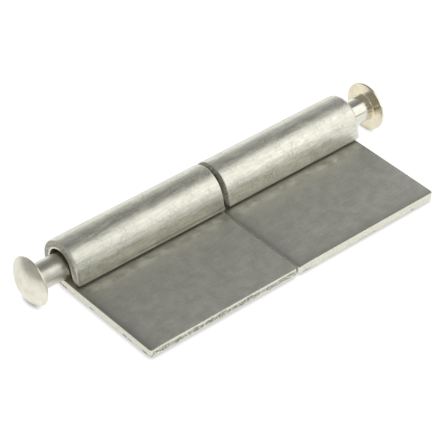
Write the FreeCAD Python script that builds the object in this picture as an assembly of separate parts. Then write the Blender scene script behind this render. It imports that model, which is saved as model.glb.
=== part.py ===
import FreeCAD, Part
import math
import os

from FreeCAD import Vector

# Lift-off hinge for welding on: two flag leaves rolled from sheet, each with an open knuckle, turning on a
# mushroom-headed pivot pin. A short pin with the same head closes the far end of the lifted leaf.
# X runs along the pin, Y from the leaves' front edge back to the knuckles, Z up from the lowest point.
# Sizes are in millimetres.

# Leaves
hinge_length = 80.0       # both leaves, from one outer end to the other
leaf_gap = 0.3            # between the two leaves, so that they pass each other
knuckle_gap = 1.3         # between the two knuckles, the right one being cut back
leaf_width = 35.0         # from the front edge to the back of the knuckle
sheet = 2.0               # sheet thickness
bore_diameter = 7.0       # inside of the rolled knuckle
lip_gap = 0.4             # slit left between the roll's free edge and the leaf
corner_radius = 0.8       # front corners, seen from above
top_edge_break = 0.2      # edges broken by tumbling, on the leaf's top and in the bore
outer_edge_break = 0.35   # the same on the leaf's underside and round the knuckle

# Pins
pin_diameter = 6.0        # shank
pin_seat_gap = 0.05       # under the shank, where it lies on the bottom of the bore
neck_length = 7.25        # shank showing between the knuckle's end and the head
head_diameter = 11.4
head_rim = 0.5            # straight edge of the head
head_dome = 2.25          # height of the dome above that edge
head_edge_break = 0.15    # at the back of the head's rim
neck_flare = 0.3          # where the shank runs out into the head's underside
pivot_reach = 21.6        # how far the pivot pin goes into the right knuckle
pin_end_gap = 0.2         # between the two shanks' ends
pin_chamfer = 0.5         # at each shank's end

# Places that follow from those sizes
bore_radius = bore_diameter / 2
knuckle_radius = bore_radius + sheet
pin_radius = pin_diameter / 2
head_radius = head_diameter / 2
left_end_x = -hinge_length / 2
right_end_x = hinge_length / 2
left_leaf_stop = -leaf_gap / 2
right_leaf_start = leaf_gap / 2
right_knuckle_start = left_leaf_stop + knuckle_gap
pin_above_leaf = sheet + pin_seat_gap + pin_radius
depth = leaf_width + max(0.0, head_radius - knuckle_radius)
front_y = -depth / 2
axis_y = front_y + leaf_width - knuckle_radius
leaf_z = max(0.0, head_radius - pin_above_leaf)
leaf_top_z = leaf_z + sheet
bore_z = leaf_top_z + bore_radius
pin_z = leaf_z + pin_above_leaf
pivot_tip_x = right_knuckle_start + pivot_reach
pivot_shank = neck_length + pivot_tip_x - left_end_x
stop_shank = neck_length + right_end_x - pivot_tip_x - pin_end_gap


def outline(start_x, end_x):
    """The flat of a leaf seen from above: a rectangle with its two front corners rounded."""
    diagonal = corner_radius * (1 - math.sqrt(0.5))
    left_back = Vector(start_x, axis_y, leaf_z)
    left_side = Vector(start_x, front_y + corner_radius, leaf_z)
    left_corner = Vector(start_x + diagonal, front_y + diagonal, leaf_z)
    left_front = Vector(start_x + corner_radius, front_y, leaf_z)
    right_front = Vector(end_x - corner_radius, front_y, leaf_z)
    right_corner = Vector(end_x - diagonal, front_y + diagonal, leaf_z)
    right_side = Vector(end_x, front_y + corner_radius, leaf_z)
    right_back = Vector(end_x, axis_y, leaf_z)
    edges = [
        Part.LineSegment(left_back, left_side).toShape(),
        Part.Arc(left_side, left_corner, left_front).toShape(),
        Part.LineSegment(left_front, right_front).toShape(),
        Part.Arc(right_front, right_corner, right_side).toShape(),
        Part.LineSegment(right_side, right_back).toShape(),
        Part.LineSegment(right_back, left_back).toShape(),
    ]
    return Part.Face(Part.Wire(edges))


def rim_edges(plate, height):
    """A plate's edges at one height, apart from the back one, where the roll begins."""
    def is_rim(edge):
        points = [vertex.Point for vertex in edge.Vertexes]
        level = all(math.isclose(point.z, height, abs_tol=1e-6) for point in points)
        at_roll = all(math.isclose(point.y, axis_y, abs_tol=1e-6) for point in points)
        return level and not at_roll
    return [edge for edge in plate.Edges if is_rim(edge)]


def section(start_x, end_x):
    """The strip's cross-section where the roll begins, below the bore: a rectangle with broken edges."""
    corners = [
        (start_x + outer_edge_break, leaf_z),
        (end_x - outer_edge_break, leaf_z),
        (end_x, leaf_z + outer_edge_break),
        (end_x, leaf_top_z - top_edge_break),
        (end_x - top_edge_break, leaf_top_z),
        (start_x + top_edge_break, leaf_top_z),
        (start_x, leaf_top_z - top_edge_break),
        (start_x, leaf_z + outer_edge_break),
    ]
    points = [Vector(x, axis_y, z) for x, z in corners]
    return Part.Face(Part.makePolygon(points + points[:1]))


def leaf(start_x, end_x, knuckle_start, knuckle_end):
    """One strip: the flat, the roll three quarters of the way round, and the straight front wall."""
    flat = outline(start_x, end_x).extrude(Vector(0, 0, sheet))
    flat = flat.makeChamfer(top_edge_break, rim_edges(flat, leaf_top_z))
    flat = flat.makeChamfer(outer_edge_break, rim_edges(flat, leaf_z))

    bore_centre = Vector(knuckle_start, axis_y, bore_z)
    along_pin = Vector(1, 0, 0)
    roll_angle = 270
    roll_section = section(knuckle_start, knuckle_end)
    roll = roll_section.revolve(bore_centre, along_pin, roll_angle)

    front_section = roll_section.copy()
    front_section.rotate(bore_centre, along_pin, roll_angle)
    front_wall = front_section.extrude(Vector(0, 0, lip_gap - bore_radius))
    return flat.fuse([roll, front_wall]).removeSplitter()


def headed_pin(shank_length):
    """A pin turned round X: the head's underside at X = 0, its dome towards -X and its shank towards +X."""
    rim_x = -head_rim
    apex_x = rim_x - head_dome
    dome_radius = (head_radius ** 2 + head_dome ** 2) / (2 * head_dome)
    half_dome_angle = math.asin(head_radius / dome_radius) / 2
    dome_middle = Vector(
        apex_x + dome_radius * (1 - math.cos(half_dome_angle)),
        dome_radius * math.sin(half_dome_angle),
        0,
    )
    apex = Vector(apex_x, 0, 0)
    dome_foot = Vector(rim_x, head_radius, 0)
    rim_foot = Vector(-head_edge_break, head_radius, 0)
    back_rim = Vector(0, head_radius - head_edge_break, 0)
    flare_start = Vector(0, pin_radius + neck_flare, 0)
    flare_end = Vector(neck_flare, pin_radius, 0)
    chamfer_start = Vector(shank_length - pin_chamfer, pin_radius, 0)
    chamfer_end = Vector(shank_length, pin_radius - pin_chamfer, 0)
    tip = Vector(shank_length, 0, 0)
    corners = [
        dome_foot, rim_foot, back_rim, flare_start, flare_end, chamfer_start, chamfer_end, tip, apex,
    ]
    edges = [Part.Arc(apex, dome_middle, dome_foot).toShape()]
    for start, end in zip(corners, corners[1:]):
        edges.append(Part.LineSegment(start, end).toShape())
    return Part.Face(Part.Wire(edges)).revolve(Vector(0, 0, 0), Vector(1, 0, 0), 360)


def pivot_pin():
    """The long pin: in from the left end, through the left knuckle and into the right one."""
    pin = headed_pin(pivot_shank)
    pin.translate(Vector(left_end_x - neck_length, axis_y, pin_z))
    return pin


def stop_pin():
    """The short pin: in from the right end, up to the pivot pin's tip."""
    pin = headed_pin(stop_shank)
    pin.rotate(Vector(0, 0, 0), Vector(0, 0, 1), 180)
    pin.translate(Vector(right_end_x + neck_length, axis_y, pin_z))
    return pin


nodes = {
    "left_leaf": leaf(left_end_x, left_leaf_stop, left_end_x, left_leaf_stop),
    "right_leaf": leaf(right_leaf_start, right_end_x, right_knuckle_start, right_end_x),
    "pivot_pin": pivot_pin(),
    "stop_pin": stop_pin(),
}

os.makedirs("parts", exist_ok=True)
for name, shape in nodes.items():
    shape.exportStep("parts/" + name + ".step")
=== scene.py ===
import math

import bpy
import numpy as np
from mathutils import Matrix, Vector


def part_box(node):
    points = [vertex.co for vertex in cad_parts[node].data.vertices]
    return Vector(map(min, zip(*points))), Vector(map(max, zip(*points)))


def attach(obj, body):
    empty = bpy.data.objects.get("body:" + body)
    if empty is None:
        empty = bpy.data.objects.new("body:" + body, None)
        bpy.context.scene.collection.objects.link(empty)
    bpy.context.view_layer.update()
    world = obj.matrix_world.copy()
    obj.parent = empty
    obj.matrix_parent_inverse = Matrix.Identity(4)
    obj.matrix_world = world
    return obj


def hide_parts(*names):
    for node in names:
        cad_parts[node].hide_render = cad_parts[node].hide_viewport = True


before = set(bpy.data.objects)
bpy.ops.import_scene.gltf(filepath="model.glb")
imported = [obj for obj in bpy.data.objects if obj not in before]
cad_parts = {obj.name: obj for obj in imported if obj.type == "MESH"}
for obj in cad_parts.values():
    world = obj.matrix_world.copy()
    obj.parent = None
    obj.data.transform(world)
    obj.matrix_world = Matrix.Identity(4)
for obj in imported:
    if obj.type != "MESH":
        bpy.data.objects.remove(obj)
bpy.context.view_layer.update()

# The leaves: two strips of stainless sheet, sheared to size, tumbled, and rolled three quarters of the way
# round at the back into open knuckles. Shearing draws the sheet down along one edge and tears it along the
# other: the left strip's front edge is torn across its middle, all the other edges are torn underneath.

mm = 0.001
sheet = 2.0 * mm            # thickness
lip_gap = 0.4 * mm          # slit between the roll's free edge, its lip, and the leaf
lip_skew = 0.8 * mm         # how far the lip has run askew along the pin
skew_reach = 5.2 * mm       # how far back from the lip the strip has run askew
skew_power = 1.5            # how steeply it does so towards the lip
knuckle_gap = 1.3 * mm      # between the two knuckles, the right one being cut back
relief_share = 0.6          # how much of that cut the right leaf already has under its roll
slit_relief = 0.2 * mm      # how soon behind the slit it has it
corner_radius = 0.8 * mm    # front corners, seen from above
roll_angle = math.radians(270)

# Roundings of the edges: their reach along the face, their depth, and how far the face itself sags there.
sharp_edge = (0.14 * mm, 0.12 * mm, 0.0)            # torn
broken_edge = (0.35 * mm, 0.20 * mm, 0.0)           # rubbed by tumbling
drawn_edge = (0.16 * mm, 0.10 * mm, 0.18 * mm)      # drawn down by the shears
soft_edge = (0.90 * mm, 0.28 * mm, 0.05 * mm)       # drawn down and rubbed
crisp_edge = (0.14 * mm, 0.12 * mm, 0.10 * mm)      # drawn down but not rubbed
worn_edge = (0.60 * mm, 0.20 * mm, 0.0)             # rubbed further
sag_reach = 1.3 * mm


def ease(low, high, value):
    """A smooth step: nought below the low value, one above the high one, 3t^2 - 2t^3 between them."""
    t = np.clip((value - low) / (high - low), 0, 1)
    return t * t * (3 - 2 * t)


def strip_path(low, high):
    """The strip seen along the pin, from its front edge to the edge of the roll: a straight flat, an arc
    round the bore and a straight front wall. Gives the inner face's points in Y and Z, the directions from
    there through the sheet, the distances to both ends, and the angle rolled so far."""
    knuckle_radius = (high.z - low.z) / 2
    bore_radius = knuckle_radius - sheet
    axis = np.array([high.y - knuckle_radius, low.z + knuckle_radius])
    flat_length = axis[0] - low.y
    wall_length = bore_radius - lip_gap
    edge_reach = 1.2 * mm
    edge_steps = edge_reach * (1 - np.cos(np.linspace(0, math.pi / 2, 16)))
    slit = flat_length - knuckle_radius
    flat_run = np.concatenate([
        edge_steps, np.linspace(edge_reach, slit, 52)[1:], np.linspace(slit, slit + slit_relief, 5)[1:],
        np.linspace(slit + slit_relief, flat_length, 13)[1:],
    ])
    angles = np.linspace(0, roll_angle, 110)[1:]
    wall_run = np.concatenate([
        np.linspace(0, wall_length - edge_reach, 6)[1:], (wall_length - edge_steps)[::-1][1:],
    ])

    flat_points = np.stack([low.y + flat_run, np.full_like(flat_run, axis[1] - bore_radius)], 1)
    flat_through = np.tile([0.0, -1.0], (len(flat_run), 1))
    arc_through = np.stack([np.sin(angles), -np.cos(angles)], 1)
    arc_points = axis + bore_radius * arc_through
    wall_points = np.stack([np.full_like(wall_run, axis[0] - bore_radius), axis[1] - wall_run], 1)
    wall_through = np.tile([-1.0, 0.0], (len(wall_run), 1))

    rolled_length = flat_length + bore_radius * angles
    length_so_far = np.concatenate([flat_run, rolled_length, rolled_length[-1] + wall_run])
    angle_so_far = np.concatenate([0 * flat_run, angles, roll_angle + 0 * wall_run])
    points = np.concatenate([flat_points, arc_points, wall_points])
    through = np.concatenate([flat_through, arc_through, wall_through])
    return points, through, length_so_far, length_so_far[-1] - length_so_far, angle_so_far


def quarter(distance, reach, depth):
    """How far a rounded edge has dropped at a distance from it: a quarter of an ellipse."""
    t = np.clip(1 - distance / reach, 0, 1)
    return depth * (1 - np.sqrt(1 - t * t))


def sag(distance, edge):
    """How far the face has sunk at a distance from an edge: it dies away exponentially."""
    return edge[2] * np.exp(-distance / sag_reach)


def sheared_edge(inner_edge, outer_edge):
    """One sheared edge of the strip in section, from the inner face to the outer: a quarter ellipse, the cut
    face, and another quarter ellipse, all between the sagging faces. Gives the insets from the cut face, the
    depths below the inner face, and how much of each point is cut face and arris."""
    turn = np.linspace(0, math.pi / 2, 9)
    inner_inset = inner_edge[0] * (1 - np.sin(turn))
    inner_depth = inner_edge[1] * (1 - np.cos(turn))
    cut_depth = np.linspace(inner_edge[1], sheet - outer_edge[1], 14)[1:-1]
    outer_inset = outer_edge[0] * (1 - np.cos(turn))
    outer_depth = sheet - outer_edge[1] * (1 - np.sin(turn))
    inset = np.concatenate([inner_inset, 0 * cut_depth, outer_inset])
    depth = np.concatenate([inner_depth, cut_depth, outer_depth])
    inner_sag = sag(inset, inner_edge)
    outer_sag = sag(inset, outer_edge)
    depth = inner_sag + depth * (sheet - inner_sag - outer_sag) / sheet
    cut_start = 0.7
    inner_cut, outer_cut = ease(cut_start, 1, np.sin(turn)), ease(cut_start, 1, np.cos(turn))
    cut = np.concatenate([inner_cut, 1 + 0 * cut_depth, outer_cut])
    bulge = np.sin(2 * turn)
    arris = np.concatenate([bulge, 0 * cut_depth, bulge])
    return inset, depth, cut, arris


def mesh_piece(name, points, quads, triangles=()):
    """A smooth mesh object at the origin from an array of points and arrays of faces by point numbers."""
    faces = [face.tolist() for face in (quads, np.asarray(triangles, int).reshape(-1, 3))]
    mesh = bpy.data.meshes.new(name)
    mesh.from_pydata(points.tolist(), [], faces[0] + faces[1])
    mesh.polygons.foreach_set("use_smooth", np.ones(len(mesh.polygons), bool))
    mesh.update()
    piece = bpy.data.objects.new(name, mesh)
    bpy.context.scene.collection.objects.link(piece)
    return piece


def point_mask(piece, name, values):
    """Stores one number for each point of a piece's mesh, for its material to read."""
    attribute = piece.data.attributes.new(name, "FLOAT", "POINT")
    attribute.data.foreach_set("value", values.astype(np.float32))


def grid_quads(numbers):
    """The four-sided faces of a grid of point numbers."""
    corners = [numbers[:-1, :-1], numbers[:-1, 1:], numbers[1:, 1:], numbers[1:, :-1]]
    return np.stack([corner.ravel() for corner in corners], 1)


def section_loop(width, left_edges, right_edges):
    """The strip's section as a closed loop: along the inner face, down the right edge, back along the outer
    face and up the left edge, the faces' points closing up towards the edges. A point lies at a share of the
    width plus an offset, and at a depth; it also says how much of it is cut face, arris, inner face and
    drawn-down left edge, whose sag the material darkens as painted shade."""
    left_inset, left_depth, left_cut, left_arris = sheared_edge(*left_edges)
    right_inset, right_depth, right_cut, right_arris = sheared_edge(*right_edges)
    t = np.linspace(-1, 1, 120)
    across = (t * (3 - t * t) + 2) / 4
    face = np.zeros(len(across))
    side = np.zeros(len(left_inset) - 2)
    inner = left_inset[0] + across * (width - left_inset[0] - right_inset[0])
    outer = left_inset[-1] + across * (width - left_inset[-1] - right_inset[-1])
    inner_sag = sag(inner, left_edges[0]) + sag(width - inner, right_edges[0])
    outer_sag = sag(outer, left_edges[1]) + sag(width - outer, right_edges[1])

    def joined(inner_face, right_edge, outer_face, left_edge):
        return np.concatenate([inner_face, right_edge[1:-1], outer_face[::-1], left_edge[1:-1][::-1]])

    return {
        "share": np.concatenate([across, side + 1, across[::-1], side]),
        "offset": joined(inner - across * width, -right_inset, outer - across * width, left_inset),
        "depth": joined(inner_sag, right_depth, sheet - outer_sag, left_depth),
        "cut": joined(face, right_cut, face, left_cut),
        "arris": joined(face, right_arris, face, left_arris),
        "inner": np.concatenate([face + 1, side, face, side]),
        "drawn": np.concatenate([sag(inner, left_edges[0]) / drawn_edge[2], side, face, side]),
    }


def closed_tube(tube, masks, across):
    """A tube of section loops, closed at both ends: gives its points, its faces and its masks' values. The
    grid that closes an end has points of the loop for its border, and rows of its own from the left edge to
    the right one, at the same shares of the way across as the loop's inner face."""
    stations, around = tube.shape[:2]
    numbers = np.arange(stations * around).reshape(stations, around)
    quads = [grid_quads(np.concatenate([numbers, numbers[:, :1]], 1))]
    points = [tube.reshape(-1, 3)]
    values = {mask: [value.ravel()] for mask, value in masks.items()}
    run = len(across)
    side = around // 2 - run
    inner_face, right_edge = slice(0, run), slice(run, run + side)
    outer_face, left_edge = slice(run + side, 2 * run + side), slice(2 * run + side, None)
    spread = across[1:-1, None]
    total = numbers.size
    for station, facing in ((0, -1), (stations - 1, 1)):
        ring = numbers[station]
        inside = np.arange(total, total + side * (run - 2)).reshape(side, run - 2)
        total += inside.size
        rows = np.concatenate([ring[left_edge][::-1, None], inside, ring[right_edge][:, None]], 1)
        cap = np.concatenate([ring[None, inner_face], rows, ring[None, outer_face][:, ::-1]])
        quads.append(grid_quads(cap[:, ::facing]))
        left_side = tube[station, left_edge][::-1, None]
        right_side = tube[station, right_edge][:, None]
        points.append((left_side + (right_side - left_side) * spread).reshape(-1, 3))
        for mask, value in masks.items():
            row = value[station, right_edge] if mask == "torn" else np.full(side, float(mask == "cut_face"))
            values[mask].append(np.repeat(row, run - 2))
    joined_values = {mask: np.concatenate(parts) for mask, parts in values.items()}
    return np.concatenate(points), np.concatenate(quads), joined_values


# How a strip changes on its way: the start and the end of each change, or its size.
section_turn = (0.0, 0.50)              # from the flat's section to the roll's, in radians round the roll
cut_back_turn = (0.0, 0.12)             # to the cut-back knuckle, in the same way
groove_place = 0.85 * mm                # the middle of a faint groove, from the lip
groove_width = 0.20 * mm
groove_run = (0.1, 0.5)                 # where it deepens, in shares of the strip's width
front_sag_share = 0.4                   # how much a face sags to the front, of what it does to the side
front_sag_shade_share = 0.75                # how much it darkens there, likewise
stain_and_shade_run = (-5.0 * mm, -1.0 * mm)      # behind the slit
painted_shade_run = (-2.2 * mm, 0.2 * mm)       # behind the slit
oxide_run = (0.6 * mm, 1.4 * mm)        # behind the slit, on the bore's floor
oxide_turn = (0.05, 0.60)               # round the roll, in radians
dull_run = (2.8 * mm, 0.4 * mm)         # up the front wall, from the lip
dull_share = 0.35                       # how much of its burnish the wall lacks there
flat_tear = (0.62, 0.3)                 # a side's tear: its start, as a share of the thickness, and strength
roll_tear = (0.17, 1.0)                 # the same at the ends of the roll
tear_border = 0.2                       # share of the thickness over which a tear begins


def rolled_strip(name, node, flat_edges, roll_edges, front_edges, front_torn, lip_edge, lip_groove, inset):
    """A leaf: its section is carried along the path and changes from the flat's to the roll's. It is drawn
    in at the front corners and where the knuckle is cut back by the inset, partly so already under the roll,
    where the other leaf's lip passes. It runs askew towards its own lip, and is squeezed at both ends by
    rounded edges and by a groove along the lip, a bell curve in section that deepens to the right. The front
    face is torn from one share of the thickness to another, with a strength."""
    low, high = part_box(node)
    path, through, from_front, from_lip, angle = strip_path(low, high)
    width = high.x - low.x
    flat_loop = section_loop(width, *flat_edges)
    roll_loop = section_loop(width, *roll_edges)
    rolled = ease(*section_turn, angle)[:, None]
    loop = {key: flat_loop[key] + (roll_loop[key] - flat_loop[key]) * rolled for key in flat_loop}

    in_roll = ease(*cut_back_turn, angle)
    knuckle_height = high.z - low.z
    behind_slit = path[:, :1] - (high.y - knuckle_height)
    relieved = (inset > 0) * ease(0, slit_relief, behind_slit)
    cut_back = inset * np.maximum(in_roll, relief_share * relieved[:, 0])
    plan_inset = quarter(from_front, corner_radius, corner_radius)
    askew = lip_skew * np.clip(1 - from_lip / skew_reach, 0, 1) ** skew_power
    left_x = low.x + plan_inset + cut_back + askew
    right_x = high.x - plan_inset + askew
    front_sag = sag(from_front, front_edges[0])
    inner_drop = quarter(from_front, *front_edges[0][:2]) + front_sag_share * front_sag
    outer_drop = quarter(from_front, *front_edges[1][:2])
    inner_drop += quarter(from_lip, *sharp_edge[:2])
    outer_drop += quarter(from_lip, *lip_edge[:2])
    in_groove = np.exp(-((from_lip - groove_place) / groove_width) ** 2) * (lip_groove > 0)
    in_groove = in_groove[:, None] * ease(*groove_run, loop["share"])
    x = left_x[:, None] + loop["share"] * (right_x - left_x)[:, None] + loop["offset"]
    depth_left = (sheet - inner_drop - outer_drop)[:, None] - lip_groove * in_groove
    depth = inner_drop[:, None] + loop["depth"] * depth_left / sheet
    yz = path[:, None, :] + through[:, None, :] * depth[:, :, None]
    tube = np.concatenate([x[:, :, None], yz], 2)

    # What the material has to know: how much of each point is of each kind.
    depth_share = loop["depth"] / sheet
    on_flat = (1 - in_roll)[:, None]
    end_face_reach = 0.3 * sharp_edge[0]
    at_front = np.exp(-from_front / end_face_reach)[:, None]
    at_end = np.maximum(at_front, np.exp(-from_lip / end_face_reach)[:, None])
    near_end = np.exp(-np.minimum(from_front, from_lip) / sharp_edge[0])[:, None]
    dull_wall = dull_share * ease(*dull_run, from_lip)[:, None]
    tear_start, tear_strength = (flat + (roll - flat) * rolled for flat, roll in zip(flat_tear, roll_tear))
    side_torn = tear_strength * ease(tear_start, tear_start + tear_border, depth_share)
    torn_from, torn_to, torn_strength = front_torn
    front_torn_here = ease(torn_from - tear_border, torn_from + tear_border, depth_share)
    front_torn_here *= torn_strength * ease(torn_to + tear_border, torn_to - tear_border, depth_share)
    # Painted shade: the inner face darkens where it sags towards the front edge.
    front_sag_shade = front_sag_shade_share * (front_sag / drawn_edge[2])[:, None] * loop["inner"]
    in_bore = np.maximum(ease(*oxide_turn, angle)[:, None], ease(*oxide_run, behind_slit))
    # Painted shade: the flat darkens towards the slit under the lip, in the relief hole and in the lip's
    # groove, where shade falls.
    shade_by_slit = loop["inner"] * on_flat * ease(*painted_shade_run, behind_slit)
    in_relief = relieved * on_flat * (loop["share"] == 0)
    masks = {
        "cut_face": np.maximum(loop["cut"] * (1 - in_relief), at_end),
        # Arrises: lightened partly by rubbing and partly as a painted highlight along the rounded edges.
        "arris": np.maximum(loop["arris"] * (1 - in_relief), near_end),
        "rolled": rolled * (1 - dull_wall) + 0 * x,
        "torn": side_torn * (1 - at_front) + front_torn_here * at_front,
        "bore": loop["inner"] * in_bore,
        # Streaky brown marks before the knuckle: partly real staining, partly painted shade and a painted
        # brown reflection from the slit.
        "stain_and_shade": loop["inner"] * on_flat * ease(*stain_and_shade_run, behind_slit),
        # Painted shade where the inner face sags at the drawn-down edges.
        "drawn": np.maximum(loop["drawn"], front_sag_shade) * on_flat,
        "painted_shade": np.maximum(np.maximum(shade_by_slit, in_relief), in_groove),
    }

    across = flat_loop["share"][flat_loop["inner"] == 1]
    points, quads, values = closed_tube(tube, masks, across)
    piece = mesh_piece(name, points, quads)
    for mask, value in values.items():
        point_mask(piece, mask, value)
    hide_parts(node)
    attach(piece, node)
    return piece


def new_material(name):
    """An empty node material and its node tree."""
    material = bpy.data.materials.new(name)
    material.use_nodes = True
    tree = material.node_tree
    tree.nodes.clear()
    return material, tree


def add(tree, kind, settings=None, **inputs):
    """Adds a node: settings are its properties, and each input is a value or another node's output."""
    node = tree.nodes.new(kind)
    for key, value in (settings or {}).items():
        setattr(node, key, value)
    for key, value in inputs.items():
        socket = node.inputs[int(key[1:])] if key[0] == "i" and key[1:].isdigit() else node.inputs[key]
        if isinstance(value, bpy.types.NodeSocket):
            tree.links.new(value, socket)
        else:
            socket.default_value = value
    return node


def surface_marks():
    """A node group of the marks that mill-finished steel carries, from a place on the piece: cloudy mottle,
    grain drawn out along X, and fine speckle, each from nought to one."""
    group = bpy.data.node_groups.new("surface_marks", "ShaderNodeTree")
    group.interface.new_socket("Place", in_out="INPUT", socket_type="NodeSocketVector")
    for mark in ("Mottle", "Grain", "Speckle"):
        group.interface.new_socket(mark, in_out="OUTPUT", socket_type="NodeSocketFloat")
    place = add(group, "NodeGroupInput").outputs["Place"]
    marks = add(group, "NodeGroupOutput")
    drawn_out = add(group, "ShaderNodeMapping", Vector=place, Scale=(0.10, 1.0, 1.0)).outputs["Vector"]
    for name, vector, scale, detail in (
        ("Mottle", place, 400.0, 6.0), ("Grain", drawn_out, 2200.0, 4.0), ("Speckle", place, 1800.0, 3.0),
    ):
        noise = add(group, "ShaderNodeTexNoise", Vector=vector, Scale=scale, Detail=detail)
        spread = add(group, "ShaderNodeMapRange", {"interpolation_type": "SMOOTHSTEP"},
                     i0=noise.outputs["Fac"], i1=0.3, i2=0.7)
        group.links.new(spread.outputs["Result"], marks.inputs[name])
    return group


def blend_value(tree, factor, first, second):
    """A number that goes from the first value to the second as the factor goes from nought to one."""
    node = add(tree, "ShaderNodeMix", {"data_type": "FLOAT"}, i0=factor, i2=first, i3=second)
    return node.outputs[0]


def blend_colour(tree, factor, first, second):
    """A colour that goes from the first to the second as the factor goes from nought to one."""
    node = add(tree, "ShaderNodeMix", {"data_type": "RGBA"}, i0=factor, i6=first, i7=second)
    return node.outputs[2]


marks_group = surface_marks()


def mill_sheet():
    """Mill-finished stainless sheet: dull grey flats with streaky brown marks before the knuckle, partly
    real staining and partly painted shade with a painted brown reflection, painted shade along the
    drawn-down edges, and painted shade by the slit, in the relief hole and in the lip's groove; a burnished
    roll, cut faces half smooth and half torn, arrises lightened partly by rubbing and partly as a painted
    highlight, and a brown oxide in the bore."""
    material, tree = new_material("mill_sheet")
    place = add(tree, "ShaderNodeTexCoord").outputs["Object"]
    marks = add(tree, "ShaderNodeGroup", {"node_tree": marks_group}, Place=place).outputs
    mask = {
        name: add(tree, "ShaderNodeAttribute", {"attribute_name": name}).outputs["Fac"]
        for name in ("cut_face", "arris", "rolled", "torn", "bore", "stain_and_shade", "drawn", "painted_shade")
    }
    fine = blend_value(tree, 0.5, marks["Grain"], marks["Speckle"])
    cloud = blend_value(tree, 0.5, marks["Mottle"], fine)
    flat = blend_colour(tree, cloud, (0.475, 0.475, 0.434, 1), (0.63, 0.63, 0.579, 1))
    # Streaky brown before the knuckle: partly real staining, partly painted shade and a painted brown
    # reflection from the slit.
    streak = blend_value(tree, 0.65, marks["Grain"], marks["Mottle"])
    stain_and_shade = blend_colour(tree, streak, (0.72, 0.72, 0.66, 1), (0.39, 0.375, 0.315, 1))
    flat = blend_colour(tree, mask["stain_and_shade"], flat, stain_and_shade)
    # Painted shade on the faces that sag at the drawn-down edges.
    flat = blend_colour(tree, mask["drawn"], flat, (0.31, 0.31, 0.284, 1))
    burnished = blend_colour(tree, marks["Grain"], (0.59, 0.59, 0.525, 1), (0.82, 0.82, 0.727, 1))
    fleck = add(tree, "ShaderNodeMath", {"operation": "MULTIPLY"}, i0=marks["Speckle"], i1=marks["Mottle"])
    burnished = blend_colour(tree, fleck.outputs[0], burnished, (0.52, 0.52, 0.46, 1))
    torn = blend_colour(tree, marks["Speckle"], (0.32, 0.315, 0.267, 1), (0.88, 0.875, 0.78, 1))
    torn_roll = blend_colour(tree, marks["Speckle"], (0.46, 0.45, 0.395, 1), (0.86, 0.85, 0.765, 1))
    torn = blend_colour(tree, mask["rolled"], torn, torn_roll)
    smooth_cut = blend_colour(tree, marks["Speckle"], (0.61, 0.605, 0.515, 1), (0.72, 0.715, 0.61, 1))
    waver = add(tree, "ShaderNodeMath", {"operation": "MULTIPLY_ADD"},
                i0=marks["Mottle"], i1=0.7, i2=mask["torn"])
    ragged = add(tree, "ShaderNodeMapRange", {"interpolation_type": "SMOOTHSTEP"},
                 i0=waver.outputs[0], i1=0.55, i2=0.95).outputs["Result"]
    cut = blend_colour(tree, ragged, smooth_cut, torn)
    colour = blend_colour(tree, mask["rolled"], flat, burnished)
    # Painted shade by the slit, in the relief hole and in the lip's groove.
    colour = blend_colour(tree, mask["painted_shade"], colour, (0.40, 0.40, 0.355, 1))
    colour = blend_colour(tree, mask["bore"], colour, (0.55, 0.47, 0.37, 1))
    colour = blend_colour(tree, mask["cut_face"], colour, cut)
    # Arrises lightened partly by rubbing and partly as a painted highlight.
    colour = blend_colour(tree, mask["arris"], colour, (0.73, 0.73, 0.655, 1))

    flat_roughness = blend_value(tree, marks["Mottle"], 0.50, 0.60)
    rolled_roughness = blend_value(tree, marks["Grain"], 0.32, 0.44)
    cut_roughness = blend_value(tree, ragged, 0.34, 0.58)
    roughness = blend_value(tree, mask["rolled"], flat_roughness, rolled_roughness)
    roughness = blend_value(tree, mask["cut_face"], roughness, cut_roughness)
    relief = add(tree, "ShaderNodeMath", {"operation": "MULTIPLY_ADD"},
                 i0=marks["Speckle"], i1=blend_value(tree, mask["cut_face"], 0.25, 2.0), i2=marks["Grain"])
    bump = add(tree, "ShaderNodeBump", Height=relief.outputs[0], Strength=0.35, Distance=0.02 * mm)
    torn_face = add(tree, "ShaderNodeMath", {"operation": "MULTIPLY"}, i0=mask["cut_face"], i1=ragged)
    rough_metal = add(tree, "ShaderNodeMath", {"operation": "MAXIMUM"},
                      i0=mask["bore"], i1=torn_face.outputs[0])
    shader = add(tree, "ShaderNodeBsdfPrincipled", **{
        "Base Color": colour, "Roughness": roughness, "Normal": bump.outputs["Normal"],
        "Metallic": blend_value(tree, rough_metal.outputs[0], 1.0, 0.35),
    })
    add(tree, "ShaderNodeOutputMaterial", Surface=shader.outputs["BSDF"])
    return material


sheet_finish = mill_sheet()
leaf_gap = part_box("right_leaf")[0].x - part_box("left_leaf")[1].x
left_strip = rolled_strip(
    "left_leaf_strip", "left_leaf",
    flat_edges=((drawn_edge, broken_edge), (sharp_edge, broken_edge)),
    roll_edges=((sharp_edge, soft_edge), (sharp_edge, broken_edge)),
    front_edges=(sharp_edge, broken_edge), front_torn=(0.22, 0.80, 0.85),
    lip_edge=sharp_edge, lip_groove=0.05 * mm, inset=0.0,
)
right_strip = rolled_strip(
    "right_leaf_strip", "right_leaf",
    flat_edges=((drawn_edge, broken_edge), (crisp_edge, broken_edge)),
    roll_edges=((sharp_edge, sharp_edge), (broken_edge, soft_edge)),
    front_edges=(drawn_edge, sharp_edge), front_torn=(0.95, 1.40, 0.5),
    lip_edge=worn_edge, lip_groove=0.0, inset=knuckle_gap - leaf_gap,
)
for leaf in (left_strip, right_strip):
    leaf.data.materials.append(sheet_finish)

# The pins: drawn stainless wire, one end cold-headed into a low mushroom. The long pin is the hinge's
# pivot, in from the left; the short one closes the right knuckle's far end. Both lie loose in their bores.

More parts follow.
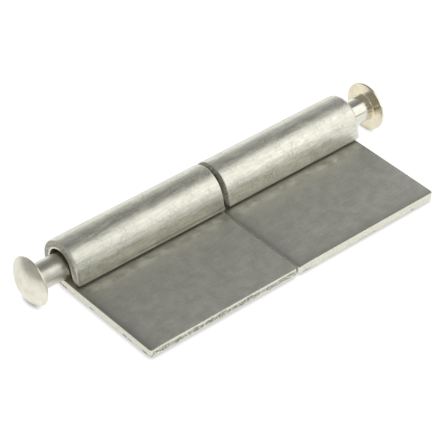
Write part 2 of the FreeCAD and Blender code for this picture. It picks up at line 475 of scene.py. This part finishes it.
shank_radius = 3.0 * mm
head_rim = 0.5 * mm         # straight edge of the head
head_dome = 2.25 * mm       # height of the dome above it
head_edge_radius = 0.2 * mm
dome_share = 0.97           # how much of the dome is left by the rounding of its edge
neck_radius = 0.4 * mm      # where the shank runs into the head
head_finish = 1.5 * mm      # how far along the shank the head's finish fades out
reflection_rim = 0.15 * mm     # how far up its edge the head's underside carries the painted reflection
tip_chamfer = 0.5 * mm
tip_edge_radius = 0.2 * mm
tip_ring = 1.5 * mm         # radius of the last ring of points on the tip's flat


def rounded_line(corners, radii, steps=8):
    """A line through corners in a plane, each inner corner replaced by a tangent arc of its radius: the arc
    is centred on the bisector, the radius divided by the sine of half the angle away from the corner."""
    line = [corners[:1]]
    for before, corner, after, radius in zip(corners, corners[1:], corners[2:], radii):
        to_before = (before - corner) / np.linalg.norm(before - corner)
        to_after = (after - corner) / np.linalg.norm(after - corner)
        half_angle = math.acos(np.clip(to_before @ to_after, -1, 1)) / 2
        bisector = (to_before + to_after) / np.linalg.norm(to_before + to_after)
        centre = corner + bisector * radius / math.sin(half_angle)
        reach = radius / math.tan(half_angle)
        start, end = corner + to_before * reach - centre, corner + to_after * reach - centre
        opening = math.pi - 2 * half_angle
        turn = np.linspace(0, opening, steps)[:, None]
        arc = (np.sin(opening - turn) * start + np.sin(turn) * end) / math.sin(opening)
        line.append(centre + arc)
    line.append(corners[-1:])
    return np.concatenate(line)


def headed_pin(name, node, head_side, satin):
    """A pin: its half profile, from the top of the dome to the middle of its tip, is carried round X. Where
    the head is on the right, its faces are turned about. One value makes it satin all over, or bright."""
    low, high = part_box(node)
    head_radius = (high.z - low.z) / 2
    length = high.x - low.x
    dome_radius = (head_radius ** 2 + head_dome ** 2) / (2 * head_dome)
    dome_angle = math.asin(head_radius / dome_radius)
    swing = np.linspace(0, dome_share * dome_angle, 24)
    dome = np.stack([dome_radius * (1 - np.cos(swing)), dome_radius * np.sin(swing)], 1)
    under_head = head_dome + head_rim
    shank_end = length - tip_chamfer
    shank = np.linspace(under_head + 2 * neck_radius, shank_end - tip_chamfer, 60)
    head = rounded_line(
        np.array([
            dome[-1], (head_dome, head_radius), (under_head, head_radius),
            (under_head, shank_radius), (shank[0], shank_radius),
        ]),
        [head_edge_radius, head_edge_radius, neck_radius],
    )
    tip = rounded_line(
        np.array([
            (shank[-1], shank_radius), (shank_end, shank_radius),
            (length, shank_radius - tip_chamfer), (length, tip_ring),
        ]),
        [tip_edge_radius, tip_edge_radius],
    )
    straight = np.stack([shank[1:-1], np.full(len(shank) - 2, shank_radius)], 1)
    profile = np.concatenate([dome[1:-1], head, straight, tip])
    turn = np.linspace(0, 2 * math.pi, 128, endpoint=False)
    along, radius = profile[:, :1], profile[:, 1:]
    apex_x = high.x if head_side > 0 else low.x
    axis_y, axis_z = (low.y + high.y) / 2, (low.z + high.z) / 2
    x = apex_x - head_side * along + 0 * turn
    skin = np.stack([x, axis_y + radius * np.cos(turn), axis_z + radius * np.sin(turn)], 2)
    poles = np.array([[apex_x, axis_y, axis_z], [apex_x - head_side * length, axis_y, axis_z]])
    rings = np.arange(x.size).reshape(x.shape)
    closed = np.concatenate([rings, rings[:, :1]], 1)
    top, tip_pole = x.size, x.size + 1
    fan_top = np.stack([np.full(len(turn), top), closed[0, 1:], closed[0, :-1]], 1)
    fan_tip = np.stack([np.full(len(turn), tip_pole), closed[-1, :-1], closed[-1, 1:]], 1)
    quads = grid_quads(closed)
    triangles = np.concatenate([fan_top, fan_tip])
    if head_side > 0:
        quads = quads[:, ::-1]
        triangles = triangles[:, ::-1]
    piece = mesh_piece(name, np.concatenate([skin.reshape(-1, 3), poles]), quads, triangles)
    headed = 1 - ease(under_head, under_head + head_finish, along) + 0 * turn
    # Painted reflection: a straw tint on the head's underside and neck stands in for the warm knuckle and
    # shank reflected there.
    painted_reflection = ease(under_head - reflection_rim, under_head, along) * headed
    point_mask(piece, "headed", np.concatenate([headed.ravel(), [1, 0]]))
    point_mask(piece, "painted_reflection", np.concatenate([painted_reflection.ravel(), [0, 0]]))
    point_mask(piece, "satin", np.full(x.size + len(poles), satin))
    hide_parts(node)
    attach(piece, node)
    return piece


def drawn_pin_steel():
    """Bright drawn stainless: satin with faint draw lines along X, a cloudy dome, and a straw-coloured tint
    under the head, a painted warm reflection of the knuckle and shank."""
    material, tree = new_material("drawn_pin_steel")
    place = add(tree, "ShaderNodeTexCoord").outputs["Object"]
    marks = add(tree, "ShaderNodeGroup", {"node_tree": marks_group}, Place=place).outputs
    mask = {
        name: add(tree, "ShaderNodeAttribute", {"attribute_name": name}).outputs["Fac"]
        for name in ("headed", "painted_reflection", "satin")
    }
    wire = blend_colour(tree, marks["Grain"], (0.64, 0.63, 0.565, 1), (0.72, 0.71, 0.64, 1))
    dome = blend_colour(tree, marks["Mottle"], (0.66, 0.645, 0.555, 1), (0.83, 0.805, 0.69, 1))
    # Painted reflection under the head, in straw.
    straw = blend_colour(tree, marks["Mottle"], (0.68, 0.63, 0.48, 1), (0.79, 0.73, 0.565, 1))
    dull_wire = blend_colour(tree, marks["Grain"], (0.57, 0.56, 0.50, 1), (0.65, 0.64, 0.575, 1))
    wire = blend_colour(tree, mask["satin"], wire, dull_wire)
    colour = blend_colour(tree, mask["headed"], wire, dome)
    colour = blend_colour(tree, mask["painted_reflection"], colour, straw)
    bright = blend_value(tree, marks["Grain"], 0.15, 0.24)
    satin = blend_value(tree, marks["Mottle"], 0.30, 0.40)
    roughness = blend_value(tree, mask["satin"], bright, satin)
    bump = add(tree, "ShaderNodeBump", Height=marks["Grain"], Strength=0.2, Distance=0.01 * mm)
    shader = add(tree, "ShaderNodeBsdfPrincipled", **{
        "Base Color": colour, "Roughness": roughness, "Metallic": 1.0, "Normal": bump.outputs["Normal"],
    })
    add(tree, "ShaderNodeOutputMaterial", Surface=shader.outputs["BSDF"])
    return material


pin_finish = drawn_pin_steel()
for piece_name, node_name, head_side, satin in (
    ("pivot_pin_turned", "pivot_pin", -1, 1.0), ("stop_pin_turned", "stop_pin", 1, 0.0),
):
    pin = headed_pin(piece_name, node_name, head_side, satin)
    pin.data.materials.append(pin_finish)

# The stage: a white table that keeps the object's shadow, soft light from a box at the front right, a room
# that darkens upwards from its white back wall and is grey to the left and the front, and the camera where
# the photograph was taken from.

table_half = 3.0
shade_reach = 1.0 * mm      # how close over the table the object dims its glow
shade_share = 0.9           # and how far


def white_table():
    """A pale diffuse table that also glows for the camera and for reflections, so that it reads as white,
    but less where the object stands close over it."""
    material, tree = new_material("white_table")
    rays = add(tree, "ShaderNodeLightPath").outputs
    open_sky = add(tree, "ShaderNodeAmbientOcclusion", {"samples": 16}, Distance=shade_reach).outputs["AO"]
    open_sky = blend_value(tree, shade_share, 1.0, open_sky)
    seen = rays["Is Camera Ray"]
    for ray in ("Is Glossy Ray", "Is Transmission Ray"):
        seen = add(tree, "ShaderNodeMath", {"operation": "MAXIMUM"}, i0=seen, i1=rays[ray]).outputs[0]
    strength = add(tree, "ShaderNodeMath", {"operation": "MULTIPLY"}, i0=seen, i1=open_sky).outputs[0]
    glow = add(tree, "ShaderNodeEmission", Color=(0.96, 0.96, 0.96, 1), Strength=strength)
    paper = add(tree, "ShaderNodeBsdfDiffuse", Color=(0.3, 0.3, 0.3, 1))
    both = add(tree, "ShaderNodeAddShader", i0=glow.outputs[0], i1=paper.outputs[0])
    add(tree, "ShaderNodeOutputMaterial", Surface=both.outputs[0])
    return material


table_corners = table_half * np.array([[-1, -1, 0], [1, -1, 0], [1, 1, 0], [-1, 1, 0]], float)
table = mesh_piece("white_table", table_corners, np.array([[0, 1, 2, 3]]))
table.data.materials.append(white_table())

world = bpy.data.worlds.new("studio")
bpy.context.scene.world = world
world.use_nodes = True
sky = world.node_tree
sky.nodes.clear()
direction = add(sky, "ShaderNodeTexCoord").outputs["Generated"]
directions = add(sky, "ShaderNodeSeparateXYZ", Vector=direction).outputs
height = add(sky, "ShaderNodeMapRange", i0=directions["Z"], i1=0.04, i2=1.04)
walls = add(sky, "ShaderNodeValToRGB", Fac=height.outputs["Result"])
stops = walls.color_ramp.elements
stops[0].position, stops[0].color = 0.00, (1.7, 1.7, 1.68, 1)
stops[1].position, stops[1].color = 1.00, (0.20, 0.20, 0.20, 1)
for position, colour in (
    (0.12, (1.28, 1.28, 1.26, 1)), (0.21, (0.96, 0.96, 0.945, 1)), (0.35, (0.64, 0.64, 0.63, 1)),
    (0.57, (0.42, 0.42, 0.415, 1)), (0.75, (0.28, 0.28, 0.275, 1)),
):
    stops.new(position).color = colour
to_left = add(sky, "ShaderNodeMapRange", {"interpolation_type": "SMOOTHSTEP"},
              i0=directions["X"], i1=0.25, i2=-0.3)
to_front = add(sky, "ShaderNodeMapRange", {"interpolation_type": "SMOOTHSTEP"},
               i0=directions["Y"], i1=0.1, i2=-0.4)
dim = add(sky, "ShaderNodeMath", {"operation": "MAXIMUM"},
          i0=to_left.outputs["Result"], i1=to_front.outputs["Result"])
grey_wall = (0.42, 0.42, 0.406, 1)
walls = blend_colour(sky, dim.outputs[0], walls.outputs["Color"], grey_wall)
room = add(sky, "ShaderNodeBackground", Color=walls, Strength=1.0)
add(sky, "ShaderNodeOutputWorld", Surface=room.outputs["Background"])

softbox_distance = 0.20
softbox_size = 0.214
softbox_direction = np.array([0.585, -0.55, 0.595])
softbox_data = bpy.data.lights.new("softbox", "AREA")
softbox_data.shape = "SQUARE"
softbox_data.size = softbox_size
softbox_data.color = (1.0, 0.985, 0.96)
softbox_data.energy = 0.158
softbox = bpy.data.objects.new("softbox", softbox_data)
towards = softbox_direction / np.linalg.norm(softbox_direction)
softbox.location = softbox_distance * towards
softbox.rotation_euler = softbox.location.to_track_quat("Z", "Y").to_euler()
bpy.context.scene.collection.objects.link(softbox)

eye = (-241.08 * mm, -263.54 * mm, 294.61 * mm)
view_yaw = math.radians(41.73)      # to the right of +Y
view_pitch = math.radians(39.15)    # below the horizon
view_roll = math.radians(1.2)
camera_data = bpy.data.cameras.new("camera")
camera_data.sensor_width = 36.0
camera_data.lens = 175.0
camera = bpy.data.objects.new("camera", camera_data)
camera.matrix_world = (
    Matrix.Translation(eye)
    @ Matrix.Rotation(-view_yaw, 4, "Z")
    @ Matrix.Rotation(math.pi / 2 - view_pitch, 4, "X")
    @ Matrix.Rotation(view_roll, 4, "Z")
)
bpy.context.scene.collection.objects.link(camera)
bpy.context.scene.camera = camera
bpy.context.scene.view_settings.view_transform = "Standard"
